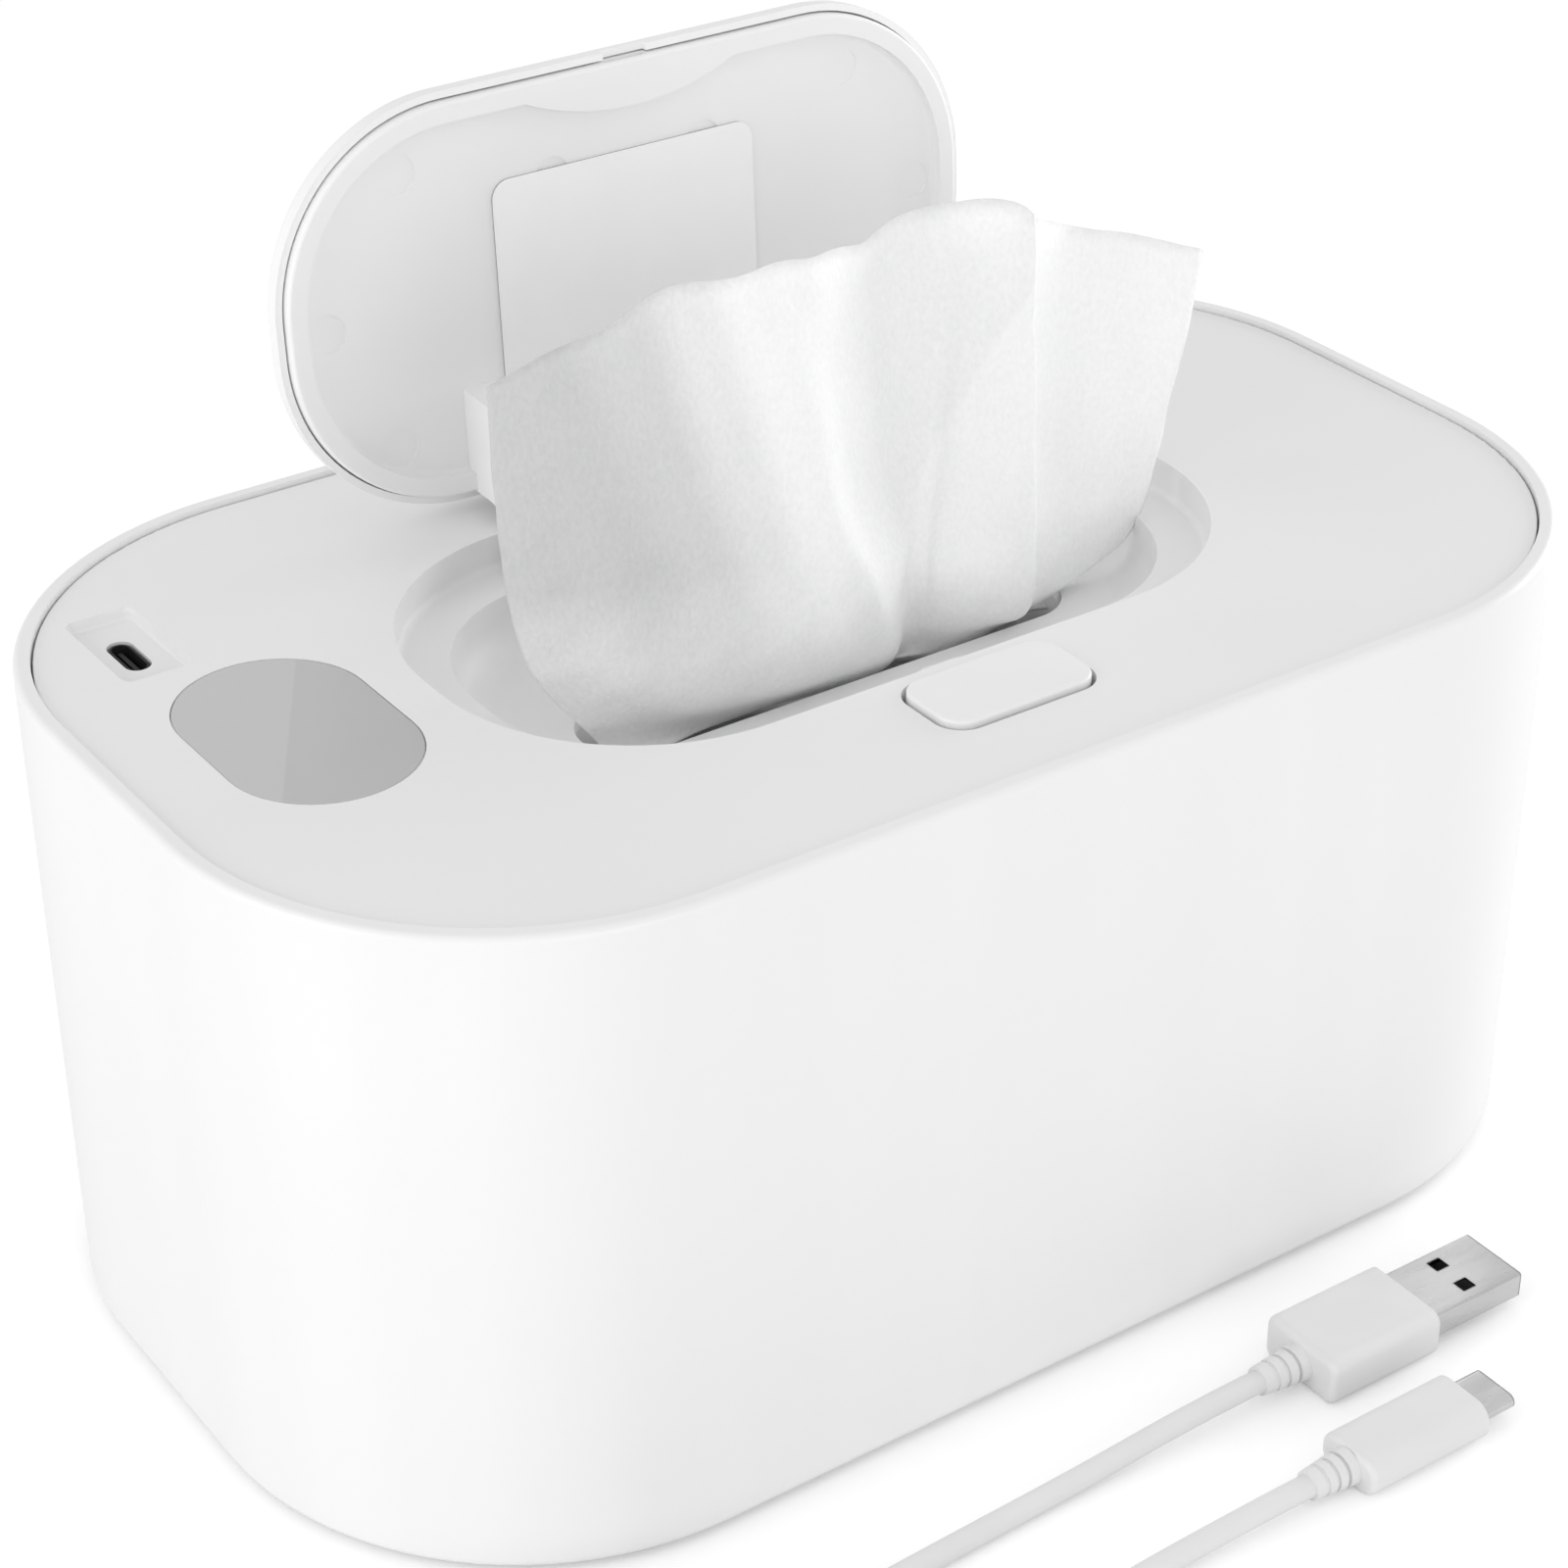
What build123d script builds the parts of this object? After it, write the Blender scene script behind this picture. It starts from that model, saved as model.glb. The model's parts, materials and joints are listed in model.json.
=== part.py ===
"""Baby wipe warmer: a tub for moist wipes under a lift-off heated top cover with a sprung lid.

Frame: origin on the surface the warmer stands on, under the middle of the body; +X along the
long side, -Y the front with the latch button, +Z up. Millimetres. The lid is drawn shut, where it
fits its recess, and then turned open about its hinge, which is how it rests.
"""
import os
from math import cos, pi, radians, sin, tan

from build123d import *

# ---- body ---------------------------------------------------------------------------------
body_length = 230.0
body_width = 140.0
body_top = 106.5            # top of the shell's rim above the table
corner_radius = 52.0        # of the outline, seen from above
shell_wall = 2.5
rim_round = 1.1
base_round = 2.0
foot_projection = 1.0       # the feet hold the shell this far off the table
fit_gap = 0.3               # between pieces that drop into one another

base_thickness = 2.5
base_recess = 0.5           # base cover above the shell's lower edge
foot_diameter = 15.0
foot_seat_depth = 1.0
foot_x, foot_y = 84.0, 38.0
shell_bottom = foot_projection
base_bottom = shell_bottom + base_recess
base_top = base_bottom + base_thickness

rib_thickness = 1.6
rib_depth = 3.6
base_boss_height = 7.5
base_boss_radius = 3.5
base_boss_inset = 8.5       # boss centre from the shell's inner face

# ---- tub ----------------------------------------------------------------------------------
tub_gap = 9.0               # shell's inner face to the tub wall
tub_wall = 1.8
tub_bottom = 12.0
tub_flange_top = 90.0
tub_flange_thickness = 2.0
tub_floor_round = 6.0
sleeve_thickness = 4.7
sleeve_bottom = 14.0
sleeve_top = 84.0
pad_inset = 5.5
floor_rib_height = 1.2
floor_rib_width = 2.4
floor_rib_count = 5

# ---- top cover ----------------------------------------------------------------------------
rim_step = 0.8              # panel below the rim
panel_thickness = 2.4
skirt_thickness = 2.0
seal_thickness = 1.2
seal_width = 3.5
seal_inset = 3.0            # seal's outer edge from the flange's edge
carrier_wall = 1.8
carrier_flange = 2.0
carrier_clearance = 1.5     # carrier inside the tub's mouth
carrier_bottom = 80.0
carrier_floor = 2.0
panel_top = body_top - rim_step
panel_under = panel_top - panel_thickness
skirt_bottom = tub_flange_top + seal_thickness + carrier_flange
carrier_floor_top = carrier_bottom + carrier_floor

recess_length = 130.0
recess_width = 71.0
recess_radius = 33.0
recess_y = -0.7
recess_depth = 5.6
moulding_wall = 2.2
ledge_width = 7.9
well_depth = 9.1            # ledge to well floor
well_round = 6.0
slot_length = 86.0
slot_width = 16.0
slot_y = -4.0
collar_wall = 1.6
collar_clearance = 0.5
ledge_top = panel_top - recess_depth
well_floor = ledge_top - well_depth

cover_screw_places = [(-45.0, 47.5), (45.0, 47.5), (-45.0, -47.5), (45.0, -47.5), (90.0, 0.0), (-86.0, -34.0)]
cover_boss_radius = 3.5

# ---- heater -------------------------------------------------------------------------------
plate_length = 160.0
plate_width = 84.0
plate_radius = 24.0
plate_thickness = 1.2
film_thickness = 0.3
film_margin = 5.0
plate_hole_margin = 3.0     # heating plate's hole outside the wipe slot
plate_screw_x, plate_screw_y = 66.0, 30.0
sensor_window = (10.0, 7.0)
sensor_places = {"thermistor": (-58.0, 0.0), "thermal_fuse": (58.0, 0.0)}

# ---- screws (shank diameter, head diameter, head height, length under the head) ---------------
screw_shank = 2.6
screw_head = 5.2
screw_head_height = 1.6
driver_slot = 0.8
screw_bore_gap = 0.2

# ---- display, circuit board and charging socket -----------------------------------------------
display_x = -86.0
display_length = 42.5
display_width = 28.0
lens_thickness = 1.2
lens_rebate = 2.0
board_top = 96.1
board_thickness = 1.6
board_x, board_length = -86.5, 34.0
board_y, board_width = 10.0, 76.0
board_margin = 2.0
board_post_places = [(-76.0, 40.0), (-93.0, -20.0)]
board_post_radius = 2.4
led_length, led_width = 30.0, 16.0
socket_x, socket_y = -94.3, 35.6
pocket_length, pocket_width = 21.0, 10.7
pocket_depth = 2.0
pocket_radius = 1.6
port_length, port_width = 9.7, 4.0
socket_length, socket_width = 8.94, 3.26
socket_wall = 0.3
socket_sink = 0.3           # socket's mouth below the pocket's floor
tongue_length, tongue_width = 6.7, 0.7

# ---- lid ----------------------------------------------------------------------------------
lid_open_angle = 93.0
hinge_y, hinge_z = 40.5, 98.5
lid_length = 123.0
lid_width = 64.0
lid_radius = 29.5
lid_cap_depth = 3.5
lid_cap_plate = 1.6
lid_cap_wall = 1.1
lid_cap_round = 1.5
lid_seam_gap = 0.3
liner_plate = 1.4
liner_border_width = 3.0
liner_border_height = 2.0   # border above the liner's floor
liner_edge_round = 0.6
bulge_half_length, bulge_depth = 18.5, 4.0
mark_diameter, mark_depth = 6.0, 0.2
mark_places = [(39.5, 53.0), (53.0, 31.6), (13.5, 47.0), (43.0, 11.0)]
arm_x = 27.5
arm_width = 8.0
arm_inner_radius = 10.3
arm_thickness = 3.0
arm_root_length = 17.5      # root's far end from the lid's hinge edge
arm_root_drop = 10.2        # root below the liner's floor
arm_spoke = 3.2
barrel_radius = 3.0
pin_radius = 1.5
pin_gap = 0.2
hinge_pocket_gap = 1.0
hinge_pocket_wall = 1.6
spring_bay_length = 9.0
spring_wire = 0.8
spring_radius = 2.4
spring_turns = 5
spring_leg = 10.0
seam_plane = panel_top - lid_cap_depth
liner_floor = panel_top - lid_cap_plate - liner_plate
border_face = liner_floor - liner_border_height
lid_back = recess_y + lid_width / 2
lid_front = recess_y - lid_width / 2

# ---- latch --------------------------------------------------------------------------------
button_length, button_width, button_radius = 26.0, 14.0, 4.0
button_y = -46.0
button_proud = 1.0
button_plate = 1.6
button_wall = 1.2
button_gap = 0.7
button_travel = 1.6
button_skirt_bottom = 101.6
button_edge_round = 0.5
barb_height, barb_reach, barb_width = 1.4, 1.3, 5.0
leg_inner, leg_thickness, leg_width = 5.6, 1.4, 8.0
leg_bottom = 97.5
slide_half_width = 5.2
slide_thickness = 1.2
slide_top = 103.1
fork_inner = 3.4
fork_bottom = 98.5
fork_tail = 2.6             # fork behind the trunnion
nose_half_width = 3.2
nose_bite = 1.3             # nose inside the lid's catch
nose_bevel = 0.7
trunnion_radius = 1.0
trunnion_z = 100.3
trunnion_gap = 0.15
cheek_inner, cheek_thickness, cheek_width = 7.6, 1.6, 10.0
bracket_plate = 1.5
bracket_top = 95.0
bracket_half_length = 20.5
bracket_screw_x = 17.5
bracket_boss_radius = 2.4
catch_half_width = 3.8
catch_gap = 0.2
button_spring_wire = 0.6
button_spring_radius = 2.2
button_spring_turns = 5
spring_post_radius = 1.5
spring_post_height = 3.0

# ---- moist wipe standing in the slot --------------------------------------------------------
wipe_thickness = 2.4
wipe_sections = [            # height, half width, wave height, middle x, middle y
    (66.0, 24.0, 1.0, -3.0, slot_y),
    (well_floor, slot_length / 2 - fit_gap, 1.0, 0.0, slot_y),
    (118.0, 57.0, 6.0, 4.0, -3.0),
    (148.0, 64.0, 9.0, 9.0, -1.0),
]
wipe_waves = [0.0, 0.75, 0.9, 0.1, -0.9, -0.35, 0.7, 0.2, -0.6, 0.0]

# ---- charging cable -------------------------------------------------------------------------
cord_diameter = 3.6
coil_middle = (-84.0, -111.5)
coil_radius = 20.0
coil_width, coil_height = 11.4, 9.0
plug_a_y = -92.0
plug_a_relief_start = 16.0
plug_a_relief = 8.0
plug_a_body = (21.0, 15.5, 8.0)
plug_a_shell = (18.6, 12.0, 4.5)
plug_a_wall = 0.3
plug_a_round = 2.0
plug_c_y = -112.5
plug_c_relief_start = 7.5
plug_c_relief = 7.5
plug_c_body = (22.5, 11.4, 6.4)
plug_c_shell = (6.65, 8.25, 2.4)
plug_c_wall = 0.25
relief_radius = 3.0
table_gap = 0.05            # cord above the table
cord_low = cord_diameter / 2 + table_gap
lead_a_route = [
    (plug_a_relief_start, plug_a_y, plug_a_body[2] / 2),
    (4.0, plug_a_y, plug_a_body[2] / 2),
    (-17.0, -91.6, cord_low),
    (-43.0, -92.4, cord_low),
    (-68.0, -91.5, cord_low),
]
lead_c_route = [
    (plug_c_relief_start, plug_c_y, plug_c_body[2] / 2),
    (-4.0, plug_c_y, plug_c_body[2] / 2),
    (-25.0, -112.0, cord_low),
    (-47.0, -113.6, cord_low),
    (-66.0, -125.0, cord_low),
]


# ---- helpers --------------------------------------------------------------------------------
def rounded(length, width, radius, low, high, x=0.0, y=0.0):
    """Upright block with a rounded rectangular outline between two heights."""
    return extrude(Pos(x, y, low) * RectangleRounded(length, width, radius), high - low)


def grown(length, width, radius, by):
    """Outline sizes of a rounded rectangle moved outwards by a distance."""
    return length + 2 * by, width + 2 * by, radius + by


def stadium(length, width, low, high, x=0.0, y=0.0, along_y=False):
    """Upright block with a racetrack outline."""
    turn = Rot(0, 0, 90) if along_y else Rot(0, 0, 0)
    return extrude(Pos(x, y, low) * turn * SlotOverall(length, width), high - low)


def post(radius, low, high, x, y):
    """Upright cylinder between two heights."""
    return extrude(Pos(x, y, low) * Circle(radius), high - low)


def block(x0, x1, y0, y1, z0, z1):
    """Box between two corners."""
    return Pos((x0 + x1) / 2, (y0 + y1) / 2, (z0 + z1) / 2) * Box(x1 - x0, y1 - y0, z1 - z0)


def rod(radius, x0, x1, y, z):
    """Cylinder along X."""
    return extrude(Plane.YZ.offset(x0) * (Pos(y, z) * Circle(radius)), x1 - x0)


def lowest(solid):
    return solid.faces().sort_by(Axis.Z)[0]


def highest(solid):
    return solid.faces().sort_by(Axis.Z)[-1]


def screw(x, y, seat, length):
    """Pan-head screw driven upwards: the head hangs under the seat and the shank goes up."""
    head = post(screw_head / 2, seat - screw_head_height, seat, x, y)
    head = fillet(lowest(head).edges(), screw_head_height / 3)
    shank = post(screw_shank / 2, seat, seat + length, x, y)
    cross = Box(driver_slot, screw_head * 0.6, screw_head_height)
    cross += Box(screw_head * 0.6, driver_slot, screw_head_height)
    return head + shank - Pos(x, y, seat - screw_head_height) * cross


def open_lid(shut):
    """Turn a piece drawn with the lid shut to where it rests with the lid open."""
    about = Pos(0, hinge_y, hinge_z)
    return about * Rot(-lid_open_angle, 0, 0) * about.inverse() * shut


shell_inner = grown(body_length, body_width, corner_radius, -shell_wall)
cover_outline = grown(*shell_inner, -fit_gap)
tub_outline = grown(*shell_inner, -tub_gap)
tub_mouth = grown(*tub_outline, -tub_wall)
carrier_outline = grown(*tub_mouth, -carrier_clearance)
recess_outline = (recess_length, recess_width, recess_radius)
well_outline = grown(*recess_outline, -ledge_width)
lid_outline = (lid_length, lid_width, lid_radius)
liner_outline = grown(*lid_outline, -lid_cap_wall - lid_seam_gap)


# ---- body pieces ------------------------------------------------------------------------------
def base_screw_places():
    side = shell_inner[1] / 2 - base_boss_inset
    end = shell_inner[0] / 2 - base_boss_inset
    return [(x, y) for x in (-52.0, 52.0) for y in (-side, side)] + [(-end, 0.0), (end, 0.0)]


def make_outer_shell():
    shell = rounded(body_length, body_width, corner_radius, shell_bottom, body_top)
    shell = fillet(lowest(shell).edges(), base_round)
    shell = fillet(highest(shell).edges(), rim_round)
    shell -= rounded(*shell_inner, 0, body_top + 1)
    half_length, half_width = shell_inner[0] / 2, shell_inner[1] / 2
    rib_low, rib_high = base_top + fit_gap, tub_flange_top - tub_flange_thickness
    for side in (-1, 1):
        for x in (-36.0, -12.0, 12.0, 36.0):
            rib = block(-rib_thickness / 2, rib_thickness / 2, -rib_depth, 1.0, rib_low, rib_high)
            shell += Pos(x, side * half_width, 0) * Rot(0, 0, 0 if side > 0 else 180) * rib
        for y in (-11.0, 11.0):
            rib = block(-rib_depth, 1.0, -rib_thickness / 2, rib_thickness / 2, rib_low, rib_high)
            shell += Pos(side * half_length, y, 0) * Rot(0, 0, 0 if side > 0 else 180) * rib
    boss_high = base_top + base_boss_height
    for x, y in base_screw_places():
        shell += post(base_boss_radius, base_top, boss_high, x, y)
        reach = base_boss_inset + 1.0
        if y:
            out = reach if y > 0 else -reach
            web = block(x - rib_thickness, x + rib_thickness, min(y, y + out), max(y, y + out), base_top, boss_high)
        else:
            out = reach if x > 0 else -reach
            web = block(min(x, x + out), max(x, x + out), y - rib_thickness, y + rib_thickness, base_top, boss_high)
        shell += web
    for x, y in base_screw_places():
        shell -= post(screw_shank / 2 + screw_bore_gap / 2, base_top - 1, boss_high - 1, x, y)
    return shell


def make_base_cover():
    base = rounded(*cover_outline, base_bottom, base_top)
    for x in (-foot_x, foot_x):
        for y in (-foot_y, foot_y):
            base -= post(foot_diameter / 2 + fit_gap, base_bottom - 1, base_bottom + foot_seat_depth, x, y)
    for x, y in base_screw_places():
        base -= post(screw_shank / 2 + screw_bore_gap, base_bottom - 1, base_top + 1, x, y)
        base -= post(screw_head / 2 + fit_gap, base_bottom - 1, base_bottom + screw_head_height - 0.2, x, y)
    return base


def make_rubber_feet():
    feet = []
    for x in (-foot_x, foot_x):
        for y in (-foot_y, foot_y):
            foot = post(foot_diameter / 2, 0, base_bottom + foot_seat_depth, x, y)
            feet.append(chamfer(lowest(foot).edges(), foot_projection / 2))
    return Compound(children=feet)


def make_base_screws():
    seat = base_bottom + screw_head_height - 0.2
    return Compound(children=[screw(x, y, seat, base_top + base_boss_height - 2 - seat) for x, y in base_screw_places()])


def make_inner_tub():
    tub = rounded(*tub_outline, tub_bottom, tub_flange_top)
    tub = fillet(lowest(tub).edges(), tub_floor_round)
    tub += rounded(*cover_outline, tub_flange_top - tub_flange_thickness, tub_flange_top)
    hollow = rounded(*tub_mouth, tub_bottom + tub_wall, tub_flange_top + 1)
    tub -= fillet(lowest(hollow).edges(), tub_floor_round - tub_wall)
    floor = tub_bottom + tub_wall
    pitch = tub_mouth[1] / (floor_rib_count + 1)
    for number in range(floor_rib_count):
        y = (number - (floor_rib_count - 1) / 2) * pitch
        length = tub_mouth[0] - 2 * tub_mouth[2]
        tub += stadium(length, floor_rib_width, floor - 0.5, floor + floor_rib_height, y=y)
    return tub


def make_insulation_sleeve():
    inner = grown(*tub_outline, fit_gap)
    sleeve = rounded(*grown(*inner, sleeve_thickness - fit_gap), sleeve_bottom, sleeve_top)
    return sleeve - rounded(*inner, sleeve_bottom - 1, sleeve_top + 1)


def make_insulation_pad():
    return rounded(*grown(*tub_outline, -pad_inset), base_top + fit_gap, tub_bottom - fit_gap)


def make_cover_seal():
    outer = grown(*cover_outline, -seal_inset)
    seal = rounded(*outer, tub_flange_top, tub_flange_top + seal_thickness)
    return seal - rounded(*grown(*outer, -seal_width), tub_flange_top - 1, tub_flange_top + seal_thickness + 1)


# ---- top cover ----------------------------------------------------------------------------------
def make_well_hollow():
    """Lid recess, its ledge and the rounded well below it."""
    hollow = rounded(*recess_outline, ledge_top, panel_top + 1, y=recess_y)
    hollow = fillet(lowest(hollow).edges(), 1.2)
    well = rounded(*well_outline, well_floor, ledge_top + 2, y=recess_y)
    return hollow + fillet(lowest(well).edges(), well_round)


def hinge_pocket(grow, side):
    """Space that the gooseneck arm and the spring need under the panel, on one side."""
    inner, outer = arm_x - arm_width / 2, arm_x + arm_width / 2
    front = lid_back - arm_root_length - hinge_pocket_gap
    back = hinge_y + barrel_radius + hinge_pocket_gap
    low = hinge_z - arm_inner_radius - arm_thickness - hinge_pocket_gap
    arm_bay = block(inner - hinge_pocket_gap - grow, outer + hinge_pocket_gap + grow,
                    front - grow, back + grow, low - grow, panel_under)
    wall_back = recess_y + recess_width / 2 + moulding_wall
    spring_low = hinge_z - spring_radius - spring_wire - hinge_pocket_gap
    spring_bay = block(inner - spring_bay_length - grow, inner, wall_back - grow,
                       back + grow, spring_low - grow, panel_under)
    pocket = arm_bay + spring_bay
    return pocket if side > 0 else mirror(pocket, about=Plane.YZ)


def make_top_cover():
    cover = rounded(*cover_outline, skirt_bottom, panel_top)
    cover = fillet(highest(cover).edges(), fit_gap)
    cover -= rounded(*grown(*cover_outline, -skirt_thickness), skirt_bottom - 1, panel_under)
    cover += rounded(*grown(*recess_outline, moulding_wall), ledge_top - moulding_wall, panel_top, y=recess_y)
    bowl = rounded(*grown(*well_outline, moulding_wall), well_floor - moulding_wall, ledge_top, y=recess_y)
    cover += fillet(lowest(bowl).edges(), well_round)
    for side in (-1, 1):
        cover += hinge_pocket(hinge_pocket_wall, side)
    for x, y in cover_screw_places:
        cover += post(cover_boss_radius, carrier_floor_top, panel_top - 1, x, y)
    for x, y in board_post_places:
        cover += post(board_post_radius, board_top, panel_top - 1, x, y)
    for side in (-1, 1):
        cover += post(bracket_boss_radius, bracket_top, panel_top - 1, side * bracket_screw_x, button_y)
    cover -= make_well_hollow()
    for side in (-1, 1):
        cover -= hinge_pocket(0.0, side)
    bore = screw_shank / 2 + screw_bore_gap / 2
    for x, y in cover_screw_places:
        cover -= post(bore, carrier_floor_top - 1, carrier_floor_top + 9, x, y)
    for x, y in board_post_places:
        cover -= post(bore, board_top - 1, board_top + 5.5, x, y)
    for side in (-1, 1):
        cover -= post(bore, bracket_top - 1, bracket_top + 6.5, side * bracket_screw_x, button_y)
    pin_reach = arm_x + arm_width / 2 + hinge_pocket_gap + hinge_pocket_wall + 1
    cover -= rod(pin_radius + pin_gap / 2, -pin_reach, pin_reach, hinge_y, hinge_z)
    cover -= stadium(slot_length, slot_width, well_floor - 5, well_floor + 1, y=slot_y)
    cover -= rounded(button_length + 2 * button_gap, button_width + 2 * button_gap,
                     button_radius + button_gap, panel_under - 1, panel_top + 1, y=button_y)
    window = slide_half_width + 0.6
    cover -= block(-window, window, button_y, recess_y - recess_width / 2 + 1,
                   slide_top - slide_thickness - fit_gap, panel_under)
    cover -= stadium(display_length + 0.2, display_width + 0.2, panel_top - lens_thickness,
                     panel_top + 1, display_x, 0, along_y=True)
    cover -= stadium(display_length - 2 * lens_rebate, display_width - 2 * lens_rebate,
                     panel_under - 1, panel_top + 1, display_x, 0, along_y=True)
    pocket_floor = panel_top - pocket_depth
    cover += rounded(pocket_width + 2 * moulding_wall, pocket_length + 2 * moulding_wall,
                     pocket_radius + moulding_wall, pocket_floor - 1.5, panel_under, socket_x, socket_y)
    pocket = rounded(pocket_width, pocket_length, pocket_radius, pocket_floor, panel_top + 1, socket_x, socket_y)
    cover -= fillet(lowest(pocket).edges(), 0.5)
    port = stadium(port_length, port_width, pocket_floor - 2, pocket_floor + 1, socket_x, socket_y, along_y=True)
    return cover - port


def make_heater_carrier():
    carrier = rounded(*carrier_outline, carrier_bottom, skirt_bottom)
    carrier += rounded(*cover_outline, skirt_bottom - carrier_flange, skirt_bottom)
    carrier -= rounded(*grown(*carrier_outline, -carrier_wall), carrier_floor_top, skirt_bottom + 1)
    collar_length = slot_length + 2 * collar_clearance
    collar_width = slot_width + 2 * collar_clearance
    collar_top = well_floor - moulding_wall - fit_gap
    carrier += stadium(collar_length + 2 * collar_wall, collar_width + 2 * collar_wall,
                       carrier_bottom, collar_top, y=slot_y)
    carrier -= stadium(collar_length, collar_width, carrier_bottom - 1, collar_top + 1, y=slot_y)
    for x, y in cover_screw_places:
        carrier -= post(screw_shank / 2 + screw_bore_gap, carrier_bottom - 1, carrier_floor_top + 1, x, y)
    for x in (-plate_screw_x, plate_screw_x):
        for y in (-plate_screw_y, plate_screw_y):
            carrier += post(cover_boss_radius - 0.5, carrier_floor_top - 1, carrier_floor_top + 5, x, y)
            carrier -= post(screw_shank / 2 + screw_bore_gap / 2, carrier_bottom - 1, carrier_floor_top + 4, x, y)
    for x, y in sensor_places.values():
        carrier -= block(x - sensor_window[0] / 2, x + sensor_window[0] / 2,
                         y - sensor_window[1] / 2, y + sensor_window[1] / 2, carrier_bottom - 1, carrier_floor_top + 1)
    return carrier


def make_heating_plate():
    top = carrier_bottom - film_thickness
    low = top - plate_thickness
    plate = rounded(plate_length, plate_width, plate_radius, low, top)
    plate -= stadium(slot_length + 2 * plate_hole_margin, slot_width + 2 * plate_hole_margin, low - 1, top + 1, y=slot_y)
    for x in (-plate_screw_x, plate_screw_x):
        for y in (-plate_screw_y, plate_screw_y):
            plate -= post(screw_shank / 2 + screw_bore_gap, low - 1, top + 1, x, y)
    return fillet(lowest(plate).outer_wire().edges(), plate_thickness * 0.6)


def make_heating_film():
    low = carrier_bottom - film_thickness
    film = rounded(plate_length - 2 * film_margin, plate_width - 2 * film_margin,
                   plate_radius - film_margin, low, carrier_bottom)
    hole = plate_hole_margin + film_margin
    film -= stadium(slot_length + 2 * hole, slot_width + 2 * hole, low - 1, carrier_bottom + 1, y=slot_y)
    for x in (-plate_screw_x, plate_screw_x):
        for y in (-plate_screw_y, plate_screw_y):
            film -= post(screw_shank, low - 1, carrier_bottom + 1, x, y)
    return film


def make_plate_screws():
    seat = carrier_bottom - film_thickness - plate_thickness
    places = [(x, y) for x in (-plate_screw_x, plate_screw_x) for y in (-plate_screw_y, plate_screw_y)]
    return Compound(children=[screw(x, y, seat, 6.5) for x, y in places])


def make_cover_screws():
    return Compound(children=[screw(x, y, carrier_bottom, 9.0) for x, y in cover_screw_places])


def make_thermistor():
    x, y = sensor_places["thermistor"]
    bead = Pos(x, y, carrier_bottom + 1.5) * Sphere(1.5)
    leads = block(x - 0.9, x - 0.5, y - 0.2, y + 0.2, carrier_bottom + 1.5, carrier_floor_top + 5)
    leads += block(x + 0.5, x + 0.9, y - 0.2, y + 0.2, carrier_bottom + 1.5, carrier_floor_top + 5)
    return bead + leads


def make_thermal_fuse():
    x, y = sensor_places["thermal_fuse"]
    radius = 1.6
    case = rod(radius, x - 4.0, x + 4.0, y, carrier_bottom + radius)
    pigtail = rod(0.4, x - 4.8, x + 4.8, y, carrier_bottom + radius)
    return case + pigtail


def make_main_board():
    board = rounded(*grown(*cover_outline, -skirt_thickness - board_margin), board_top - board_thickness, board_top)
    board = board & block(board_x - board_length / 2, board_x + board_length / 2, board_y - board_width / 2,
                          board_y + board_width / 2, board_top - board_thickness, board_top)
    for x, y in board_post_places:
        board -= post(screw_shank / 2 + screw_bore_gap, board_top - board_thickness - 1, board_top + 1, x, y)
    return board


def make_board_screws():
    seat = board_top - board_thickness
    return Compound(children=[screw(x, y, seat, 6.0) for x, y in board_post_places])


def make_control_chip():
    x, y = board_x + 6.0, board_y + 18.0
    chip = block(x - 3.5, x + 3.5, y - 3.5, y + 3.5, board_top, board_top + 1.4)
    return chamfer(highest(chip).edges(), 0.3)


def make_led_display():
    low, high = board_top, panel_top - lens_thickness - 0.4
    housing = rounded(led_width, led_length, 1.0, low, high, display_x)
    recess = rounded(led_width - 3, led_length - 3, 0.6, high - 1.0, high + 1, display_x)
    return housing - recess


def make_display_lens():
    lens = stadium(display_length, display_width, panel_top - lens_thickness, panel_top, display_x, 0, along_y=True)
    return fillet(highest(lens).edges(), 0.25)


def make_usb_c_socket():
    mouth = panel_top - pocket_depth - socket_sink
    socket = stadium(socket_length, socket_width, board_top, mouth, socket_x, socket_y, along_y=True)
    bore = stadium(socket_length - 2 * socket_wall, socket_width - 2 * socket_wall, board_top + 1.2, mouth + 1,
                   socket_x, socket_y, along_y=True)
    return socket - bore


def make_usb_c_tongue():
    mouth = panel_top - pocket_depth - socket_sink
    return block(socket_x - tongue_width / 2, socket_x + tongue_width / 2, socket_y - tongue_length / 2,
                 socket_y + tongue_length / 2, board_top + 1.2, mouth - 0.8)


def make_heater_leads():
    wires = []
    radius = 0.6
    for offset in (0.0, 2.2):
        start = (board_x + 8.0, -18.0 + offset, board_top - board_thickness - 0.1)
        route = [start, (start[0], start[1], 89.0), (start[0] + 8.0, start[1] + 6.0, 86.0), (-63.0, start[1] + 9.0, 83.2)]
        path = FilletPolyline(*route, radius=2.5)
        wires.append(sweep(Plane(path @ 0, z_dir=path % 0) * Circle(radius), path))
    return Compound(children=wires)


# ---- lid ----------------------------------------------------------------------------------------
def make_lid_outer():
    cap = rounded(*lid_outline, seam_plane, panel_top, y=recess_y)
    cap = fillet(highest(cap).edges(), lid_cap_round)
    hollow = rounded(*grown(*lid_outline, -lid_cap_wall), seam_plane - 1, panel_top - lid_cap_plate, y=recess_y)
    cap -= hollow
    return cap - catch_slot()


def catch_slot():
    """Space in the lid's front edge that the latch nose enters."""
    low, high = slide_top - slide_thickness - catch_gap, slide_top + catch_gap
    return block(-catch_half_width, catch_half_width, lid_front - 1, lid_front + nose_bite + 0.7, low, high)


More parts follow.
